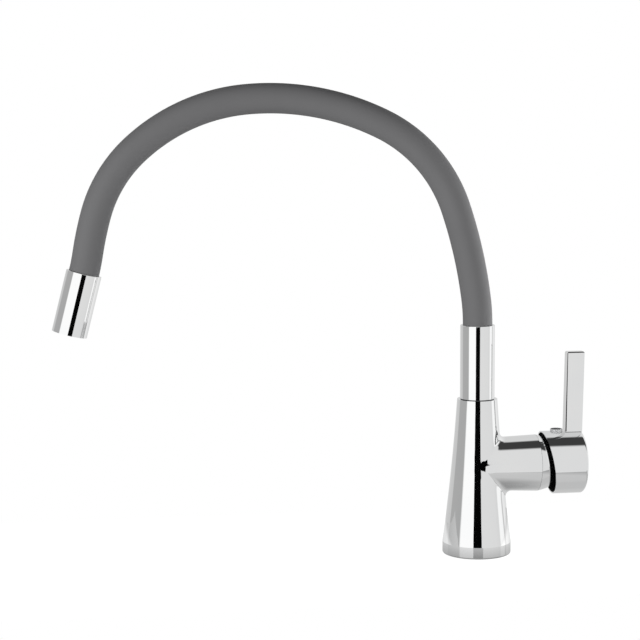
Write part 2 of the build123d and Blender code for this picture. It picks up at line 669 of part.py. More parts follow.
# Bearing bush in the body's mouth; its thin flange is the seam under the collar
with BuildPart() as spout_bush:
    turn(UPRIGHT, [
        (SPOUT_BORE_RADIUS, BODY_HEIGHT - BUSH_DEPTH),
        (BUSH_RADIUS, BODY_HEIGHT - BUSH_DEPTH),
        (BUSH_RADIUS, BODY_HEIGHT),
        (BUSH_FLANGE_RADIUS, BODY_HEIGHT),
        (BUSH_FLANGE_RADIUS, BODY_HEIGHT + BUSH_FLANGE),
        (SPOUT_BORE_RADIUS, BODY_HEIGHT + BUSH_FLANGE),
    ])
keep(spout_bush, "spout_bush")

# Split ring that keeps the spout in the body
with BuildPart() as spout_retainer:
    ring_top = RETAINER_HEIGHT + RETAINER_THICKNESS
    turn_ring(UPRIGHT, RETAINER_INNER, RETAINER_OUTER, RETAINER_HEIGHT, ring_top)
    with BuildSketch(Plane.XY.offset(RETAINER_HEIGHT)):
        with Locations((RETAINER_OUTER, 0)):
            Rectangle(RETAINER_OUTER, RETAINER_GAP_WIDTH)
    extrude(amount=RETAINER_THICKNESS, mode=Mode.SUBTRACT)
keep(spout_retainer, "spout_retainer")

# Swivel nipple: journal with seal grooves, flange and hose barb
with BuildPart() as swivel_nipple:
    nipple_foot = SPOUT_BORE_FLOOR + NIPPLE_FOOT_GAP
    turn_ring(UPRIGHT, 0, NIPPLE_RADIUS, nipple_foot, COLLAR_FOOT)
    turn_ring(UPRIGHT, 0, FERRULE_RADIUS, COLLAR_FOOT, HOSE_FOOT)
    turn_ring(UPRIGHT, 0, BARB_RADIUS, HOSE_FOOT, HOSE_FOOT + BARB_LENGTH)
    turn_ring(UPRIGHT, 0, NIPPLE_BORE, nipple_foot, COLLAR_FOOT, Mode.SUBTRACT)
    turn_ring(UPRIGHT, 0, BARB_BORE, COLLAR_FOOT, HOSE_FOOT + BARB_LENGTH, Mode.SUBTRACT)
    groove_floor = NIPPLE_RADIUS - 2 * O_RING_RADIUS
    for ring_height in O_RING_HEIGHTS:
        groove_low = ring_height - O_RING_RADIUS - FITTED
        groove_high = ring_height + O_RING_RADIUS + FITTED
        turn_ring(UPRIGHT, groove_floor, NIPPLE_RADIUS, groove_low, groove_high, Mode.SUBTRACT)
    slot_low = RETAINER_HEIGHT - APART
    turn_ring(UPRIGHT, RETAINER_INNER - APART, NIPPLE_RADIUS, slot_low, ring_top + APART, Mode.SUBTRACT)
keep(swivel_nipple, "swivel_nipple")

# The nipple's two rubber rings
with BuildPart() as nipple_o_rings:
    for ring_height in O_RING_HEIGHTS:
        with Locations((0, 0, ring_height)):
            Torus(NIPPLE_RADIUS - O_RING_RADIUS, O_RING_RADIUS)
keep(nipple_o_rings, "nipple_o_rings")

# Bright collar round the foot of the hose
with BuildPart() as spout_collar:
    turn_ring(UPRIGHT, COLLAR_BORE, COLLAR_RADIUS, COLLAR_FOOT, COLLAR_TOP)
    fillet(spout_collar.edges().group_by(Axis.Z)[-1], COLLAR_EDGE)
keep(spout_collar, "spout_collar")

# Ferrule that holds the core's foot in the collar
with BuildPart() as hose_ferrule_lower:
    turn_ring(UPRIGHT, FERRULE_BORE, FERRULE_RADIUS, HOSE_FOOT, HOSE_FOOT + SLEEVE_START - APART)
keep(hose_ferrule_lower, "hose_ferrule_lower")

# Soft outer sleeve of the spout
with BuildPart() as spout_sleeve:
    hose_layer(SLEEVE_START, SLEEVE_END, SLEEVE_RADIUS, SLEEVE_BORE)
keep(spout_sleeve, "spout_sleeve")

# Form-holding core, in three lengths that meet at the spout's two bending places
half_gap = CORE_HINGE_GAP / 2
with BuildPart() as gooseneck_lower:
    hose_layer(0, SHOULDER_PIVOT - half_gap, CORE_RADIUS, CORE_BORE)
keep(gooseneck_lower, "gooseneck_lower")

with BuildPart() as gooseneck_middle:
    hose_layer(SHOULDER_PIVOT + half_gap, OUTLET_PIVOT - half_gap, CORE_RADIUS, CORE_BORE)
keep(gooseneck_middle, "gooseneck_middle")

with BuildPart() as gooseneck_upper:
    hose_layer(OUTLET_PIVOT + half_gap, HOSE_END, CORE_RADIUS, CORE_BORE)
keep(gooseneck_upper, "gooseneck_upper")

# Water tube inside the core
with BuildPart() as water_tube:
    hose_layer(APART, HOSE_END - APART, TUBE_RADIUS, TUBE_BORE)
keep(water_tube, "water_tube")

# Ferrule that holds the core's end in the nozzle
with BuildPart() as hose_ferrule_upper:
    turn_ring(NOZZLE_SECTION, FERRULE_BORE, FERRULE_RADIUS, SLEEVE_IN_NOZZLE + APART, CORE_IN_NOZZLE)
keep(hose_ferrule_upper, "hose_ferrule_upper")

# Outlet insert: barb for the water tube and the aerator's seat
with BuildPart() as outlet_insert:
    turn_ring(NOZZLE_SECTION, 0, FERRULE_RADIUS, CORE_IN_NOZZLE, INSERT_END)
    turn_ring(NOZZLE_SECTION, 0, BARB_RADIUS, CORE_IN_NOZZLE - BARB_LENGTH, CORE_IN_NOZZLE)
    turn_ring(NOZZLE_SECTION, 0, BARB_BORE, CORE_IN_NOZZLE - BARB_LENGTH, INSERT_END, Mode.SUBTRACT)
keep(outlet_insert, "outlet_insert")

# Nozzle shell with a rounded lip
with BuildPart() as nozzle_shell:
    with BuildSketch(NOZZLE_SECTION):
        with Locations(((COLLAR_BORE + NOZZLE_RADIUS) / 2, NOZZLE_LENGTH / 2)):
            shell_wall = Rectangle(NOZZLE_RADIUS - COLLAR_BORE, NOZZLE_LENGTH)
        outer_corners = shell_wall.vertices().group_by(Axis.X)[-1].sort_by(Axis.Y)
        fillet(outer_corners[0], NOZZLE_TOP_EDGE)
        fillet(outer_corners[-1], NOZZLE_LIP)
    revolve(axis=NOZZLE_AXIS)
keep(nozzle_shell, "nozzle_shell")

# Aerator: washer, housing with key notches, and screen
aerator_radius = COLLAR_BORE - FITTED
outlet_plane = Plane(NOZZLE_SECTION.origin, x_dir=(0, 1, 0), z_dir=NOZZLE_DIRECTION)
screen_radius = aerator_radius - AERATOR_WALL - FITTED
with BuildPart() as aerator_washer:
    turn_ring(NOZZLE_SECTION, screen_radius - AERATOR_LEDGE, aerator_radius, INSERT_END, WASHER_END)
keep(aerator_washer, "aerator_washer")

with BuildPart() as aerator_housing:
    ledge_bore = screen_radius - AERATOR_LEDGE
    ledge_end = AERATOR_END - SCREEN_THICKNESS
    turn(NOZZLE_SECTION, [
        (ledge_bore, WASHER_END),
        (aerator_radius, WASHER_END),
        (aerator_radius, AERATOR_END),
        (screen_radius + FITTED, AERATOR_END),
        (screen_radius + FITTED, ledge_end),
        (ledge_bore, ledge_end),
    ])
    with BuildSketch(outlet_plane.offset(AERATOR_END - AERATOR_NOTCH_DEPTH)):
        Rectangle(2 * aerator_radius, AERATOR_NOTCH)
        Circle(screen_radius + FITTED, mode=Mode.SUBTRACT)
    extrude(amount=AERATOR_NOTCH_DEPTH, mode=Mode.SUBTRACT)
keep(aerator_housing, "aerator_housing")

with BuildPart() as aerator_screen:
    with BuildSketch(outlet_plane.offset(ledge_end)):
        Circle(screen_radius)
        with HexLocations(SCREEN_PITCH / 2, SCREEN_ROWS, SCREEN_ROWS):
            Circle(SCREEN_HOLE, mode=Mode.SUBTRACT)
    extrude(amount=SCREEN_THICKNESS)
keep(aerator_screen, "aerator_screen")

# The sleeve's volume against its section times its length, and the places of the joints
section_area = pi * (SLEEVE_RADIUS ** 2 - SLEEVE_BORE ** 2)
print("sleeve volume ratio", spout_sleeve.part.volume / (section_area * (SLEEVE_END - SLEEVE_START)))
print("hose length", HOSE_END, "shoulder pivot", along(SHOULDER_PIVOT), "outlet pivot", along(OUTLET_PIVOT))
print("nozzle", nozzle_x, nozzle_z, NOZZLE_DIRECTION, "disc travel", DISC_TRAVEL)
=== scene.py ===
"""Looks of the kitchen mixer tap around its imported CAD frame, with lengths in metres."""

from math import cos, pi, radians, sin

import bpy
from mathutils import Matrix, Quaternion, Vector


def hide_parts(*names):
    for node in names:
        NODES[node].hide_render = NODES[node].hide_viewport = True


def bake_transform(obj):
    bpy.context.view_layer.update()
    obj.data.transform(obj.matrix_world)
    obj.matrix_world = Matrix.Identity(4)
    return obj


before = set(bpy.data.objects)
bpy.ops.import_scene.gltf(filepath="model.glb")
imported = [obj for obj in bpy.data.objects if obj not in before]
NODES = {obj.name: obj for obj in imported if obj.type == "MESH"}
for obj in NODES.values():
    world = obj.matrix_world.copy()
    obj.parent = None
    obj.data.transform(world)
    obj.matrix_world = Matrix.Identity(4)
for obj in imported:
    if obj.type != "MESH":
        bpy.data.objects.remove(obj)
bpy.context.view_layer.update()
MM = 0.001
# Bands that a wave texture draws over one unit of length at a scale of 1
WAVE_BANDS = 20 / (2 * pi)


def tint(code):
    """Linear colour of an sRGB hex value."""
    shades = [int(code[place:place + 2], 16) / 255 for place in (1, 3, 5)]
    linear = [s / 12.92 if s <= 0.04045 else ((s + 0.055) / 1.055) ** 2.4 for s in shades]
    return (*linear, 1.0)


def grey(level):
    """Linear grey of a brightness."""
    return (level, level, level, 1.0)


def grain(size_mm):
    """Texture scale that gives features of a size in millimetres."""
    return 1.0 / (size_mm * MM)


def add(tree, kind, sockets=None, **settings):
    """Add a node with its settings, and give its sockets a value or a link."""
    node = tree.nodes.new(kind)
    for name, value in settings.items():
        setattr(node, name, value)
    for name, value in (sockets or {}).items():
        if isinstance(value, bpy.types.NodeSocket):
            tree.links.new(value, node.inputs[name])
        else:
            node.inputs[name].default_value = value
    return node


def set_greys(stops, greys):
    """Set a ramp's stops to greys, each given by its place from 0 to 1 and its brightness."""
    stops[0].position, stops[1].position = greys[0][0], greys[-1][0]
    for place, level in greys[1:-1]:
        stops.new(place)
    for stop, (place, level) in zip(stops, greys):
        stop.color = grey(level)


def start_finish(name):
    """A new material, its node tree, its surface shader and the place on the piece in metres."""
    material = bpy.data.materials.new(name)
    material.use_nodes = True
    tree = material.node_tree
    tree.nodes.clear()
    surface = add(tree, "ShaderNodeBsdfPrincipled")
    add(tree, "ShaderNodeOutputMaterial", {"Surface": surface.outputs["BSDF"]})
    place = add(tree, "ShaderNodeTexCoord").outputs["Object"]
    return material, tree, surface, place


def put_in_scene(name, data):
    """A new object in the scene for a mesh, a camera or a lamp."""
    thing = bpy.data.objects.new(name, data)
    bpy.context.scene.collection.objects.link(thing)
    return thing


def polished_chrome_plate(name):
    """Bright chrome plate on polished brass. The eye sees a mirror with a faint roll left by the buff."""
    material, tree, surface, place = start_finish(name)
    polish = add(tree, "ShaderNodeTexNoise", {"Vector": place, "Scale": grain(28), "Detail": 3.0})
    shade = add(
        tree,
        "ShaderNodeMix",
        {"Factor": polish.outputs["Fac"], "A": tint("#E9EAEB"), "B": tint("#EFEFEE")},
        data_type="RGBA",
    )
    tree.links.new(shade.outputs["Result"], surface.inputs["Base Color"])
    haze = add(
        tree,
        "ShaderNodeMapRange",
        {"Value": polish.outputs["Fac"], "From Min": 0.3, "From Max": 0.7, "To Min": 0.018, "To Max": 0.04},
    )
    tree.links.new(haze.outputs["Result"], surface.inputs["Roughness"])
    roll = add(tree, "ShaderNodeTexNoise", {"Vector": place, "Scale": grain(14), "Detail": 1.0})
    bump = add(
        tree,
        "ShaderNodeBump",
        {"Strength": 0.25, "Distance": 0.03 * MM, "Height": roll.outputs["Fac"]},
    )
    tree.links.new(bump.outputs["Normal"], surface.inputs["Normal"])
    surface.inputs["Metallic"].default_value = 1.0
    return material


def plated_cap_with_painted_bore_shade(axis_height, bore, floor):
    """Plated zinc casting with painted shade in its bore. The eye sees bright chrome outside and a dull dark
    hollow painted near black.
    """
    material = polished_chrome_plate("plated_cap_with_painted_bore_shade")
    tree = material.node_tree
    output = next(node for node in tree.nodes if node.type == "OUTPUT_MATERIAL")
    plate = next(node for node in tree.nodes if node.type == "BSDF_PRINCIPLED")
    place = add(tree, "ShaderNodeTexCoord").outputs["Object"]
    # Painted shade: the bore is coloured near black with a faint mottle, where shade falls inside the handle
    bore_shade_mottle = add(tree, "ShaderNodeTexNoise", {"Vector": place, "Scale": grain(1.2), "Detail": 4.0})
    shade = add(
        tree,
        "ShaderNodeMix",
        {"Factor": bore_shade_mottle.outputs["Fac"], "A": tint("#141414"), "B": tint("#1F1F1F")},
        data_type="RGBA",
    )
    painted_bore_shade = add(tree, "ShaderNodeBsdfPrincipled", {"Base Color": shade.outputs["Result"], "Roughness": 0.75})
    parts = add(tree, "ShaderNodeSeparateXYZ", {0: place})
    rise = add(tree, "ShaderNodeMath", {0: parts.outputs["Z"], 1: axis_height}, operation="SUBTRACT")
    spread = add(tree, "ShaderNodeCombineXYZ", {"Y": parts.outputs["Y"], "Z": rise.outputs[0]}).outputs[0]
    radius = add(tree, "ShaderNodeVectorMath", {0: spread}, operation="LENGTH").outputs["Value"]
    within = add(tree, "ShaderNodeMath", {0: radius, 1: bore}, operation="LESS_THAN").outputs[0]
    behind = add(tree, "ShaderNodeMath", {0: parts.outputs["X"], 1: floor}, operation="LESS_THAN").outputs[0]
    hollow = add(tree, "ShaderNodeMath", {0: within, 1: behind}, operation="MULTIPLY").outputs[0]
    both = add(tree, "ShaderNodeMixShader", {0: hollow, 1: plate.outputs[0], 2: painted_bore_shade.outputs[0]})
    tree.links.new(both.outputs[0], output.inputs["Surface"])
    return material


def moulded_silicone():
    """Grey silicone rubber from a spark-eroded mould. The eye sees a soft matt skin with a fine grit."""
    material, tree, surface, place = start_finish("moulded_silicone")
    cloud = add(tree, "ShaderNodeTexNoise", {"Vector": place, "Scale": grain(35), "Detail": 4.0})
    shade = add(
        tree,
        "ShaderNodeMix",
        {"Factor": cloud.outputs["Fac"], "A": tint("#6A6A6B"), "B": tint("#707071")},
        data_type="RGBA",
    )
    tree.links.new(shade.outputs["Result"], surface.inputs["Base Color"])
    haze = add(
        tree,
        "ShaderNodeMapRange",
        {"Value": cloud.outputs["Fac"], "From Min": 0.3, "From Max": 0.7, "To Min": 0.56, "To Max": 0.66},
    )
    tree.links.new(haze.outputs["Result"], surface.inputs["Roughness"])
    # The real grit is about 0.05 mm, drawn ten times as coarse so that it shows
    grit = add(tree, "ShaderNodeTexNoise", {"Vector": place, "Scale": grain(0.5), "Detail": 2.0})
    bump = add(
        tree,
        "ShaderNodeBump",
        {"Strength": 0.35, "Distance": 0.03 * MM, "Height": grit.outputs["Fac"]},
    )
    tree.links.new(bump.outputs["Normal"], surface.inputs["Normal"])
    surface.inputs["IOR"].default_value = 1.41
    surface.inputs["Specular IOR Level"].default_value = 0.25
    return material


def moulded_rubber():
    """Black EPDM rubber, pressed. The eye sees a dull near-black with a dusty bloom."""
    material, tree, surface, place = start_finish("moulded_rubber")
    bloom = add(tree, "ShaderNodeTexNoise", {"Vector": place, "Scale": grain(4), "Detail": 5.0})
    shade = add(
        tree,
        "ShaderNodeMix",
        {"Factor": bloom.outputs["Fac"], "A": tint("#161616"), "B": tint("#2A2A29")},
        data_type="RGBA",
    )
    tree.links.new(shade.outputs["Result"], surface.inputs["Base Color"])
    bump = add(
        tree,
        "ShaderNodeBump",
        {"Strength": 0.3, "Distance": 0.02 * MM, "Height": bloom.outputs["Fac"]},
    )
    tree.links.new(bump.outputs["Normal"], surface.inputs["Normal"])
    surface.inputs["Roughness"].default_value = 0.7
    surface.inputs["IOR"].default_value = 1.52
    return material


def turned_brass():
    """Brass from the lathe. The eye sees warm yellow metal with tool rings and a little tarnish."""
    material, tree, surface, place = start_finish("turned_brass")
    tarnish = add(tree, "ShaderNodeTexNoise", {"Vector": place, "Scale": grain(6), "Detail": 4.0})
    shade = add(
        tree,
        "ShaderNodeMix",
        {"Factor": tarnish.outputs["Fac"], "A": tint("#D9BC74"), "B": tint("#B8954C")},
        data_type="RGBA",
    )
    tree.links.new(shade.outputs["Result"], surface.inputs["Base Color"])
    # Tool rings are about 0.2 mm apart, drawn at 3.77 mm so that they show
    rings = add(
        tree,
        "ShaderNodeTexWave",
        {"Vector": place, "Scale": grain(3.77) / WAVE_BANDS, "Distortion": 0.4},
        wave_type="BANDS",
        bands_direction="X",
    )
    bump = add(
        tree,
        "ShaderNodeBump",
        {"Strength": 0.3, "Distance": 0.02 * MM, "Height": rings.outputs["Fac"]},
    )
    tree.links.new(bump.outputs["Normal"], surface.inputs["Normal"])
    surface.inputs["Metallic"].default_value = 1.0
    surface.inputs["Roughness"].default_value = 0.28
    return material


def drawn_stainless():
    """Drawn stainless steel. The eye sees cool grey metal with a fine uneven shine."""
    material, tree, surface, place = start_finish("drawn_stainless")
    draw = add(tree, "ShaderNodeTexNoise", {"Vector": place, "Scale": grain(0.4), "Detail": 2.0})
    shade = add(
        tree,
        "ShaderNodeMix",
        {"Factor": draw.outputs["Fac"], "A": tint("#B9BBBD"), "B": tint("#CFD0D1")},
        data_type="RGBA",
    )
    tree.links.new(shade.outputs["Result"], surface.inputs["Base Color"])
    haze = add(tree, "ShaderNodeMapRange", {"Value": draw.outputs["Fac"], "To Min": 0.22, "To Max": 0.38})
    tree.links.new(haze.outputs["Result"], surface.inputs["Roughness"])
    surface.inputs["Metallic"].default_value = 1.0
    return material


def moulded_acetal(name, pale, deep):
    """Injection-moulded acetal. The eye sees a waxy plastic with faint flow marks and a fine texture."""
    material, tree, surface, place = start_finish(name)
    flow = add(
        tree,
        "ShaderNodeTexNoise",
        {"Vector": place, "Scale": grain(7), "Detail": 3.0, "Distortion": 0.6},
    )
    shade = add(
        tree,
        "ShaderNodeMix",
        {"Factor": flow.outputs["Fac"], "A": tint(pale), "B": tint(deep)},
        data_type="RGBA",
    )
    tree.links.new(shade.outputs["Result"], surface.inputs["Base Color"])
    texture = add(tree, "ShaderNodeTexNoise", {"Vector": place, "Scale": grain(0.3), "Detail": 1.0})
    bump = add(
        tree,
        "ShaderNodeBump",
        {"Strength": 0.2, "Distance": 0.02 * MM, "Height": texture.outputs["Fac"]},
    )
    tree.links.new(bump.outputs["Normal"], surface.inputs["Normal"])
    surface.inputs["Roughness"].default_value = 0.38
    surface.inputs["IOR"].default_value = 1.48
    return material


def eroded_abs():
    """ABS with a spark-eroded face. The eye sees a flat mid grey that hardly shines."""
    material, tree, surface, place = start_finish("eroded_abs")
    flecks = add(tree, "ShaderNodeTexNoise", {"Vector": place, "Scale": grain(0.5), "Detail": 2.0})
    shade = add(
        tree,
        "ShaderNodeMix",
        {"Factor": flecks.outputs["Fac"], "A": tint("#8C8E90"), "B": tint("#929496")},
        data_type="RGBA",
    )
    tree.links.new(shade.outputs["Result"], surface.inputs["Base Color"])
    surface.inputs["Roughness"].default_value = 0.85
    surface.inputs["Specular IOR Level"].default_value = 0.1
    return material


def lapped_alumina():
    """Fired alumina lapped flat. The eye sees a dense white ceramic with a satin shine and faint specks."""
    material, tree, surface, place = start_finish("lapped_alumina")
    specks = add(tree, "ShaderNodeTexVoronoi", {"Vector": place, "Scale": grain(0.8)})
    shade = add(
        tree,
        "ShaderNodeMix",
        {"Factor": specks.outputs["Distance"], "A": tint("#E6E4DE"), "B": tint("#F1F0EC")},
        data_type="RGBA",
    )
    tree.links.new(shade.outputs["Result"], surface.inputs["Base Color"])
    surface.inputs["Roughness"].default_value = 0.16
    surface.inputs["IOR"].default_value = 1.76
    return material


def extruded_polyethylene():
    """Extruded polyethylene tube. The eye sees a milky plastic, a little uneven in tone."""
    material, tree, surface, place = start_finish("extruded_polyethylene")
    milk = add(tree, "ShaderNodeTexNoise", {"Vector": place, "Scale": grain(9), "Detail": 3.0})
    shade = add(
        tree,
        "ShaderNodeMix",
        {"Factor": milk.outputs["Fac"], "A": tint("#DDDEDB"), "B": tint("#E9EAE8")},
        data_type="RGBA",
    )
    tree.links.new(shade.outputs["Result"], surface.inputs["Base Color"])
    surface.inputs["Roughness"].default_value = 0.3
    surface.inputs["IOR"].default_value = 1.51
    return material


def satin_chromed_abs():
    """Satin chrome plate on moulded ABS. The eye sees a pale soft shine beside the bright handle."""
    material, tree, surface, place = start_finish("satin_chromed_abs")
    peel = add(tree, "ShaderNodeTexNoise", {"Vector": place, "Scale": grain(1.5), "Detail": 2.0})
    shade = add(
        tree,
        "ShaderNodeMix",
        {"Factor": peel.outputs["Fac"], "A": tint("#E4E5E6"), "B": tint("#EEEEEE")},
        data_type="RGBA",
    )
    tree.links.new(shade.outputs["Result"], surface.inputs["Base Color"])
    bump = add(
        tree,
        "ShaderNodeBump",
        {"Strength": 0.2, "Distance": 0.01 * MM, "Height": peel.outputs["Fac"]},
    )
    tree.links.new(bump.outputs["Normal"], surface.inputs["Normal"])
    surface.inputs["Metallic"].default_value = 1.0
    surface.inputs["Roughness"].default_value = 0.55
    return material


# Finishes by the slot that they fill
FINISHES = {
    "chrome": polished_chrome_plate("polished_chrome_plate"),
    "silicone": moulded_silicone(),
    "seal_rubber": moulded_rubber(),
    "brass": turned_brass(),
    "steel": drawn_stainless(),
    "cartridge_plastic": moulded_acetal("grey_acetal", "#C9CBCC", "#BDBFC1"),
    "bearing_plastic": moulded_acetal("black_acetal", "#2C2D2F", "#232426"),
    "index_grey": eroded_abs(),
    "aerator_plastic": moulded_acetal("pale_acetal", "#C6C8CA", "#B7B9BC"),
    "ceramic": lapped_alumina(),
    "tube_plastic": extruded_polyethylene(),
    "index_rim": satin_chromed_abs(),
}

# The handle's axis, the radius of its bore and how far along the arm the bore ends, which bound the painted
# shade in the bore
HANDLE_AXIS_HEIGHT = 68.0 * MM
HANDLE_BORE = 23.0 * MM
HANDLE_BORE_FLOOR = 79.5 * MM
HANDLE_CHROME = plated_cap_with_painted_bore_shade(HANDLE_AXIS_HEIGHT, HANDLE_BORE, HANDLE_BORE_FLOOR)

NODE_SLOTS = {
    "tap_body": "chrome",
    "base_seal": "seal_rubber",
    "cartridge_housing": "cartridge_plastic",
    "cartridge_base": "cartridge_plastic",
    "port_seals": "seal_rubber",
    "fixed_disc": "ceramic",
    "cartridge_nut": "brass",
    "trim_ring": "chrome",
    "spout_bush": "bearing_plastic",
    "spout_retainer": "bearing_plastic",
    "swivel_nipple": "brass",
    "nipple_o_rings": "seal_rubber",
    "spout_collar": "chrome",
    "hose_ferrule_lower": "brass",
    "gooseneck_lower": "steel",
    "gooseneck_middle": "steel",
    "gooseneck_upper": "steel",
    "hose_ferrule_upper": "brass",
    "outlet_insert": "brass",
    "nozzle_shell": "chrome",
    "aerator_washer": "seal_rubber",
    "aerator_housing": "bearing_plastic",
    "aerator_screen": "aerator_plastic",
    "spindle_turret": "bearing_plastic",
    "spindle_pin": "steel",
    "lever_handle": "chrome",
    "spindle": "steel",
    "lever_screw": "steel",
    "index_cap": "index_rim",
    "index_disc": "index_grey",
    "disc_carrier": "bearing_plastic",
    "moving_disc": "ceramic",
}
for node_name, slot_name in NODE_SLOTS.items():
    node = NODES[node_name]
    node.data.materials.clear()
    node.data.materials.append(HANDLE_CHROME if node_name == "lever_handle" else FINISHES[slot_name])

# Spout: the same arcs as the solid, each a radius in metres and a turn in degrees
HOSE_FOOT = 124.3 * MM
RISER = 51.4 * MM
END_IN_NOZZLE = 29.0 * MM
BENDS = [
    (0.151, 7.4),
    (0.353, 11.4),
    (0.109, 45.1),
    (0.193, 31.3),
    (0.139, 37.7),
    (0.101, 31.5),
    (0.268, 6.1),
    (0.171, -4.9),
]
# The hinged bends and the last one before the crown, by their place in that list
SHOULDER_BEND, CROWN_BEND, ELBOW_BEND = 2, 3, 5
BEND_LENGTHS = [radius * radians(abs(turn)) for radius, turn in BENDS]
RUNS = [(RISER, 0.0)]
for bend_length, (bend_radius, bend_turn) in zip(BEND_LENGTHS, BENDS):
    RUNS.append((bend_length, (1 if bend_turn > 0 else -1) / bend_radius))
RUNS.append((END_IN_NOZZLE, 0.0))
NOZZLE_START = RISER + sum(BEND_LENGTHS)
SHOULDER = RISER + sum(BEND_LENGTHS[:SHOULDER_BEND]) + BEND_LENGTHS[SHOULDER_BEND] / 2
CROWN = RISER + sum(BEND_LENGTHS[:CROWN_BEND + 1])
ELBOW = RISER + sum(BEND_LENGTHS[:ELBOW_BEND]) + BEND_LENGTHS[ELBOW_BEND] / 2


def along(distance):
    """X, Z and heading of the spout's centreline, where the heading turns from +Z towards -X."""
    x, z, heading = 0.0, HOSE_FOOT, 0.0
    for length, curve in RUNS:
        step = min(distance, length)
        if curve:
            ahead = heading + curve * step
            x += (cos(ahead) - cos(heading)) / curve
            z += (sin(ahead) - sin(heading)) / curve
            heading = ahead
        else:
            x -= step * sin(heading)
            z += step * cos(heading)
        distance -= step
        if distance <= 0:
            break
    return x, z, heading


def tube_piece(name, first, last, outer, inner, sides, spacing):
    """A closed tube along the spout between two distances, with crisp rims."""
    steps = max(2, round((last - first) / spacing))
    stations = [first + (last - first) * step / steps for step in range(steps + 1)]
    loops = [(distance, outer) for distance in stations]
    loops += [(distance, inner) for distance in reversed(stations)]
    points, faces = [], []
    for distance, radius in loops:
        x, z, heading = along(distance)
        for place in range(sides):
            turn = 2 * pi * place / sides
            reach = radius * cos(turn)
            points.append((x + reach * cos(heading), radius * sin(turn), z + reach * sin(heading)))
    for loop in range(len(loops)):
        low, high = loop * sides, (loop + 1) % len(loops) * sides
        for place in range(sides):
            beside = (place + 1) % sides
            faces.append((low + place, high + place, high + beside, low + beside))
    mesh = bpy.data.meshes.new(name)
    mesh.from_pydata(points, [], faces)
    mesh.shade_smooth()
    rim_loops = {0, steps, steps + 1, 2 * steps + 1}
    for edge in mesh.edges:
        ends = {corner // sides for corner in edge.vertices}
        edge.use_edge_sharp = len(ends) == 1 and ends <= rim_loops
    return put_in_scene(name, mesh)


def bend_with(piece, middle):
    """Bake a piece's transform into its mesh. The spout's centreline at a place is worked out but not used,
    and nothing is bent.
    """
    x, z, heading = along(middle)
    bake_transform(piece)


# Sleeve and water tube, each in two pieces that meet at the crown
SLEEVE_RADIUS = 11.15 * MM
SLEEVE_BORE = 10.1 * MM
SLEEVE_START = 25.9 * MM
SLEEVE_IN_NOZZLE = 18.0 * MM
SLEEVE_END = NOZZLE_START + SLEEVE_IN_NOZZLE
SLEEVE_MESH = {"sides": 72, "spacing": 2.5 * MM}
TUBE_RADIUS = 5.0 * MM
TUBE_BORE = 3.5 * MM
TUBE_GAP = 0.3 * MM
TUBE_END = NOZZLE_START + END_IN_NOZZLE - TUBE_GAP
TUBE_MESH = {"sides": 24, "spacing": 3.0 * MM}

lower_sleeve = tube_piece("sleeve_lower", SLEEVE_START, CROWN, SLEEVE_RADIUS, SLEEVE_BORE, **SLEEVE_MESH)
upper_sleeve = tube_piece("sleeve_upper", CROWN, SLEEVE_END, SLEEVE_RADIUS, SLEEVE_BORE, **SLEEVE_MESH)
lower_tube = tube_piece("water_tube_lower", TUBE_GAP, CROWN, TUBE_RADIUS, TUBE_BORE, **TUBE_MESH)
upper_tube = tube_piece("water_tube_upper", CROWN, TUBE_END, TUBE_RADIUS, TUBE_BORE, **TUBE_MESH)
for piece, slot_name, solid in (
    (lower_sleeve, "silicone", "spout_sleeve"),
    (upper_sleeve, "silicone", "spout_sleeve"),
    (lower_tube, "tube_plastic", "water_tube"),
    (upper_tube, "tube_plastic", "water_tube"),
):
    piece.data.materials.append(FINISHES[slot_name])
    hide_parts(solid)
bend_with(lower_sleeve, SHOULDER)
bend_with(upper_sleeve, ELBOW)
bend_with(lower_tube, SHOULDER)
bend_with(upper_tube, ELBOW)

# Camera at the photograph's angle; its focal length in pixels is for a frame of 640 by 640
FRAME_PIXELS = 640
FOCAL_PIXELS = 1900
SENSOR_WIDTH_MM = 36.0
CAMERA_PLACE = Vector((-0.3293, -1.3927, 0.3428))
CAMERA_AZIMUTH = radians(8.53)
CAMERA_PITCH = radians(6.54)
CAMERA_ROLL = radians(-0.25)
CAMERA_NEAREST = 0.05
# Level directions from the tap towards the camera's side and to its right
TOWARDS = Vector((-sin(CAMERA_AZIMUTH), -cos(CAMERA_AZIMUTH), 0.0))
RIGHTWARD = Vector((cos(CAMERA_AZIMUTH), -sin(CAMERA_AZIMUTH), 0.0))
UPWARD = Vector((0.0, 0.0, 1.0))

sight = -TOWARDS * cos(CAMERA_PITCH) - UPWARD * sin(CAMERA_PITCH)
camera_data = bpy.data.cameras.new("camera")
camera_data.sensor_width = SENSOR_WIDTH_MM
camera_data.lens = FOCAL_PIXELS / FRAME_PIXELS * SENSOR_WIDTH_MM
camera_data.clip_start = CAMERA_NEAREST
camera = put_in_scene("camera", camera_data)
camera.location = CAMERA_PLACE
camera.rotation_mode = "QUATERNION"
camera.rotation_quaternion = sight.to_track_quat("-Z", "Y") @ Quaternion((0.0, 0.0, 1.0), CAMERA_ROLL)
bpy.context.scene.camera = camera


def flat_sheet(name, corners, finish):
    """A flat sheet inside its corners, in one finish."""
    mesh = bpy.data.meshes.new(name)
    mesh.from_pydata(corners, [], [range(len(corners))])
    mesh.materials.append(finish)
    return put_in_scene(name, mesh)


# White plinth under the tap, and what the camera sees of it
PLINTH_LEFT, PLINTH_RIGHT = -0.7, 0.2
PLINTH_FRONT, PLINTH_BACK = -0.14, 0.16
PLINTH_WHITE = 0.97
# Painted glow that the plinth throws into the metal, dimmer near the tap's foot as a painted shadow: metres
# from the tap's axis, and brightness
PAINTED_GLOW = [(0.03, 0.28), (0.075, 0.56), (0.13, 0.56), (0.2, 0.24)]
PAINTED_GLOW_REACH = 0.25


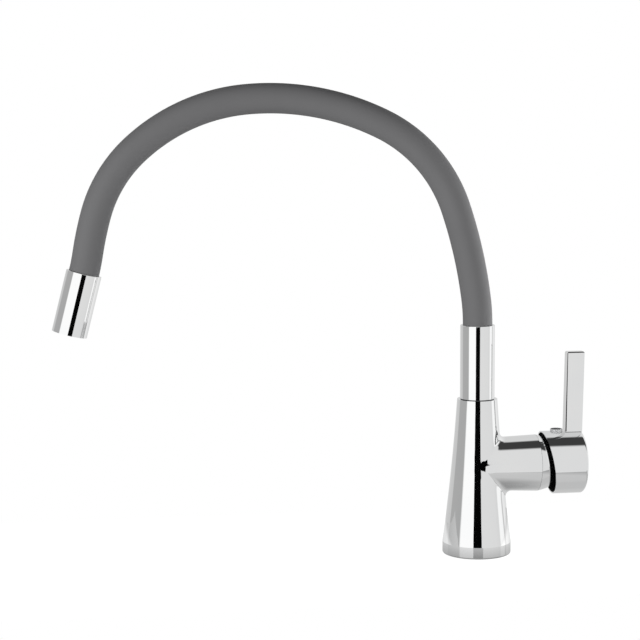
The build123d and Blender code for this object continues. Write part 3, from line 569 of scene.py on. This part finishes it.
def glossy_white_plinth():
    """White lacquered board. The eye sees white with a faint shadow, and the metal shows its grey gloss lit
    by a painted glow.
    """
    material, tree, surface, place = start_finish("glossy_white_plinth")
    # The lacquer under the painted glow is dark, so that the painted glow alone sets how bright the metal
    # shows it
    mottle = add(tree, "ShaderNodeTexNoise", {"Vector": place, "Scale": grain(60), "Detail": 2.0})
    shade = add(
        tree,
        "ShaderNodeMix",
        {"Factor": mottle.outputs["Fac"], "A": tint("#343434"), "B": tint("#383838")},
        data_type="RGBA",
    )
    tree.links.new(shade.outputs["Result"], surface.inputs["Base Color"])
    surface.inputs["Roughness"].default_value = 0.04
    surface.inputs["IOR"].default_value = 1.6
    # Painted light: the board glows by an emission that every ray but the camera's sees, dimmer close to the
    # tap's foot as a painted shadow
    reach = add(tree, "ShaderNodeVectorMath", {0: place}, operation="LENGTH").outputs["Value"]
    share = add(tree, "ShaderNodeMapRange", {"Value": reach, "From Max": PAINTED_GLOW_REACH}).outputs[0]
    painted_glow_ramp = add(tree, "ShaderNodeValToRGB", {"Fac": share})
    set_greys(painted_glow_ramp.color_ramp.elements, [(distance / PAINTED_GLOW_REACH, level) for distance, level in PAINTED_GLOW])
    painted_glow = add(tree, "ShaderNodeEmission", {"Color": painted_glow_ramp.outputs["Color"], "Strength": 1.0})
    board = add(tree, "ShaderNodeAddShader", {0: surface.outputs[0], 1: painted_glow.outputs[0]})
    # The camera sees white that still takes the tap's shadow
    shadow = add(tree, "ShaderNodeBsdfDiffuse", {"Color": tint("#707070")})
    white = add(tree, "ShaderNodeEmission", {"Color": grey(1.0), "Strength": PLINTH_WHITE})
    seen = add(tree, "ShaderNodeAddShader", {0: shadow.outputs[0], 1: white.outputs[0]})
    eye = add(tree, "ShaderNodeLightPath").outputs["Is Camera Ray"]
    both = add(tree, "ShaderNodeMixShader", {0: eye, 1: board.outputs[0], 2: seen.outputs[0]})
    # Nothing of the board shows from below, so that the tap's underside can be seen
    below = add(tree, "ShaderNodeNewGeometry").outputs["Backfacing"]
    clear = add(tree, "ShaderNodeBsdfTransparent")
    sided = add(tree, "ShaderNodeMixShader", {0: below, 1: both.outputs[0], 2: clear.outputs[0]})
    add(tree, "ShaderNodeOutputMaterial", {"Surface": sided.outputs[0]}).is_active_output = True
    return material


plinth_corners = [
    (PLINTH_LEFT, PLINTH_FRONT, 0.0),
    (PLINTH_RIGHT, PLINTH_FRONT, 0.0),
    (PLINTH_RIGHT, PLINTH_BACK, 0.0),
    (PLINTH_LEFT, PLINTH_BACK, 0.0),
]
plinth = flat_sheet("plinth", plinth_corners, glossy_white_plinth())

# Black card behind the camera, which only the metal shows; its corners are metres to the right and up
CARD_DISTANCE = 1.63
CARD_OUTLINE = [(-0.437, -0.8), (0.37, -0.8), (0.37, 0.1), (0.517, 0.17), (0.517, 1.0), (-0.437, 1.0)]


def black_felt():
    """Black wool felt. The eye sees a flat black with a faint nap."""
    material, tree, surface, place = start_finish("black_felt")
    nap = add(tree, "ShaderNodeTexNoise", {"Vector": place, "Scale": grain(3), "Detail": 3.0})
    shade = add(
        tree,
        "ShaderNodeMix",
        {"Factor": nap.outputs["Fac"], "A": tint("#0A0A0A"), "B": tint("#101010")},
        data_type="RGBA",
    )
    tree.links.new(shade.outputs["Result"], surface.inputs["Base Color"])
    surface.inputs["Roughness"].default_value = 1.0
    surface.inputs["Specular IOR Level"].default_value = 0.0
    return material


card_corners = [TOWARDS * CARD_DISTANCE + RIGHTWARD * right + UPWARD * up for right, up in CARD_OUTLINE]
card = flat_sheet("black_card", card_corners, black_felt())
card.visible_camera = False
card.visible_diffuse = False
card.visible_shadow = False

# Studio panels that the metal shows: bearing to the right of the camera's side in degrees, and brightness
PANELS = [
    (-180, 0.71),
    (-122, 0.65),
    (-116, 0.465),
    (-66, 0.455),
    (-61, 1.15),
    (-2, 1.15),
    (2, 0.84),
    (70, 0.82),
    (83, 0.78),
    (87, 1.1),
    (106, 1.08),
    (110, 0.62),
    (114, 0.62),
    (118, 0.98),
    (147, 0.83),
    (180, 0.71),
]
# Dark gap between the panels overhead: degrees up from the camera's side, soft edge and brightness
OVERHEAD_START, OVERHEAD_END = 72, 114
OVERHEAD_EDGE = 4
OVERHEAD_LEVEL = 0.05
# Sines of the height above the horizon where the gap begins to show and is whole
OVERHEAD_FAINT, OVERHEAD_WHOLE = 0.35, 0.6
# Light on the matt pieces, more from the walls than from the ceiling: sine of the height, and brightness
ROOM = [(-1.0, 0.22), (-0.05, 0.32), (0.05, 0.32), (0.35, 0.03), (1.0, 0.02)]

world = bpy.data.worlds.new("studio")
world.use_nodes = True
bpy.context.scene.world = world
sky = world.node_tree
sky.nodes.clear()
look = add(sky, "ShaderNodeTexCoord").outputs["Generated"]
near = add(sky, "ShaderNodeVectorMath", {0: look, 1: TOWARDS}, operation="DOT_PRODUCT").outputs["Value"]
right = add(sky, "ShaderNodeVectorMath", {0: look, 1: RIGHTWARD}, operation="DOT_PRODUCT").outputs["Value"]
up = add(sky, "ShaderNodeSeparateXYZ", {0: look}).outputs["Z"]

bearing = add(sky, "ShaderNodeMath", {0: right, 1: near}, operation="ARCTAN2").outputs[0]
turn_share = add(sky, "ShaderNodeMapRange", {"Value": bearing, "From Min": -pi, "From Max": pi}).outputs[0]
panels = add(sky, "ShaderNodeValToRGB", {"Fac": turn_share})
set_greys(panels.color_ramp.elements, [((angle + 180) / 360, level) for angle, level in PANELS])

rise = add(sky, "ShaderNodeMath", {0: up, 1: near}, operation="ARCTAN2").outputs[0]
enter = add(
    sky,
    "ShaderNodeMapRange",
    {
        "Value": rise,
        "From Min": radians(OVERHEAD_START - OVERHEAD_EDGE),
        "From Max": radians(OVERHEAD_START + OVERHEAD_EDGE),
    },
).outputs[0]
leave = add(
    sky,
    "ShaderNodeMapRange",
    {
        "Value": rise,
        "From Min": radians(OVERHEAD_END + OVERHEAD_EDGE),
        "From Max": radians(OVERHEAD_END - OVERHEAD_EDGE),
    },
).outputs[0]
high = add(
    sky,
    "ShaderNodeMapRange",
    {"Value": up, "From Min": OVERHEAD_FAINT, "From Max": OVERHEAD_WHOLE},
).outputs[0]
inside = add(sky, "ShaderNodeMath", {0: enter, 1: leave}, operation="MULTIPLY").outputs[0]
gap = add(sky, "ShaderNodeMath", {0: inside, 1: high}, operation="MULTIPLY").outputs[0]
studio = add(
    sky,
    "ShaderNodeMix",
    {"Factor": gap, "A": panels.outputs["Color"], "B": grey(OVERHEAD_LEVEL)},
    data_type="RGBA",
)
mirrored = add(sky, "ShaderNodeBackground", {"Color": studio.outputs["Result"], "Strength": 1.0}).outputs[0]

height_share = add(sky, "ShaderNodeMapRange", {"Value": up, "From Min": -1.0, "From Max": 1.0}).outputs[0]
room = add(sky, "ShaderNodeValToRGB", {"Fac": height_share})
set_greys(room.color_ramp.elements, [((sine + 1) / 2, level) for sine, level in ROOM])
soft = add(sky, "ShaderNodeBackground", {"Color": room.outputs["Color"], "Strength": 1.0}).outputs[0]

blank = add(sky, "ShaderNodeBackground", {"Color": grey(1.0), "Strength": 1.0}).outputs[0]
ray = add(sky, "ShaderNodeLightPath")
matt = ray.outputs["Is Diffuse Ray"]
eye = ray.outputs["Is Camera Ray"]
around_tap = add(sky, "ShaderNodeMixShader", {0: matt, 1: mirrored, 2: soft}).outputs[0]
backdrop = add(sky, "ShaderNodeMixShader", {0: eye, 1: around_tap, 2: blank}).outputs[0]
add(sky, "ShaderNodeOutputWorld", {"Surface": backdrop})

# Soft lamps on the matt pieces, which the metal doesn't show: bearing, height, distance, watts and size
LAMPS = [
    ("front_left_lamp", -48, 0.3, 2.0, 28.0, 0.8),
    ("front_right_lamp", 20, 0.3, 2.0, 12.5, 0.8),
    ("right_rim_lamp", 104, 0.16, 0.72, 5.3, 0.25),
]
LAMP_TARGET = Vector((-0.12, 0.0, 0.22))
for lamp_name, lamp_bearing, lamp_height, lamp_distance, lamp_watts, lamp_size in LAMPS:
    lamp_data = bpy.data.lights.new(lamp_name, "AREA")
    lamp_data.shape = "DISK"
    lamp_data.size = lamp_size
    lamp_data.energy = lamp_watts
    lamp = put_in_scene(lamp_name, lamp_data)
    sideways = RIGHTWARD * sin(radians(lamp_bearing)) + TOWARDS * cos(radians(lamp_bearing))
    lamp.location = Vector((LAMP_TARGET.x, LAMP_TARGET.y, lamp_height)) + sideways * lamp_distance
    lamp.rotation_mode = "QUATERNION"
    lamp.rotation_quaternion = (LAMP_TARGET - lamp.location).to_track_quat("-Z", "Y")
    lamp.visible_glossy = False
    lamp.visible_camera = False

bpy.context.scene.view_settings.view_transform = "Standard"
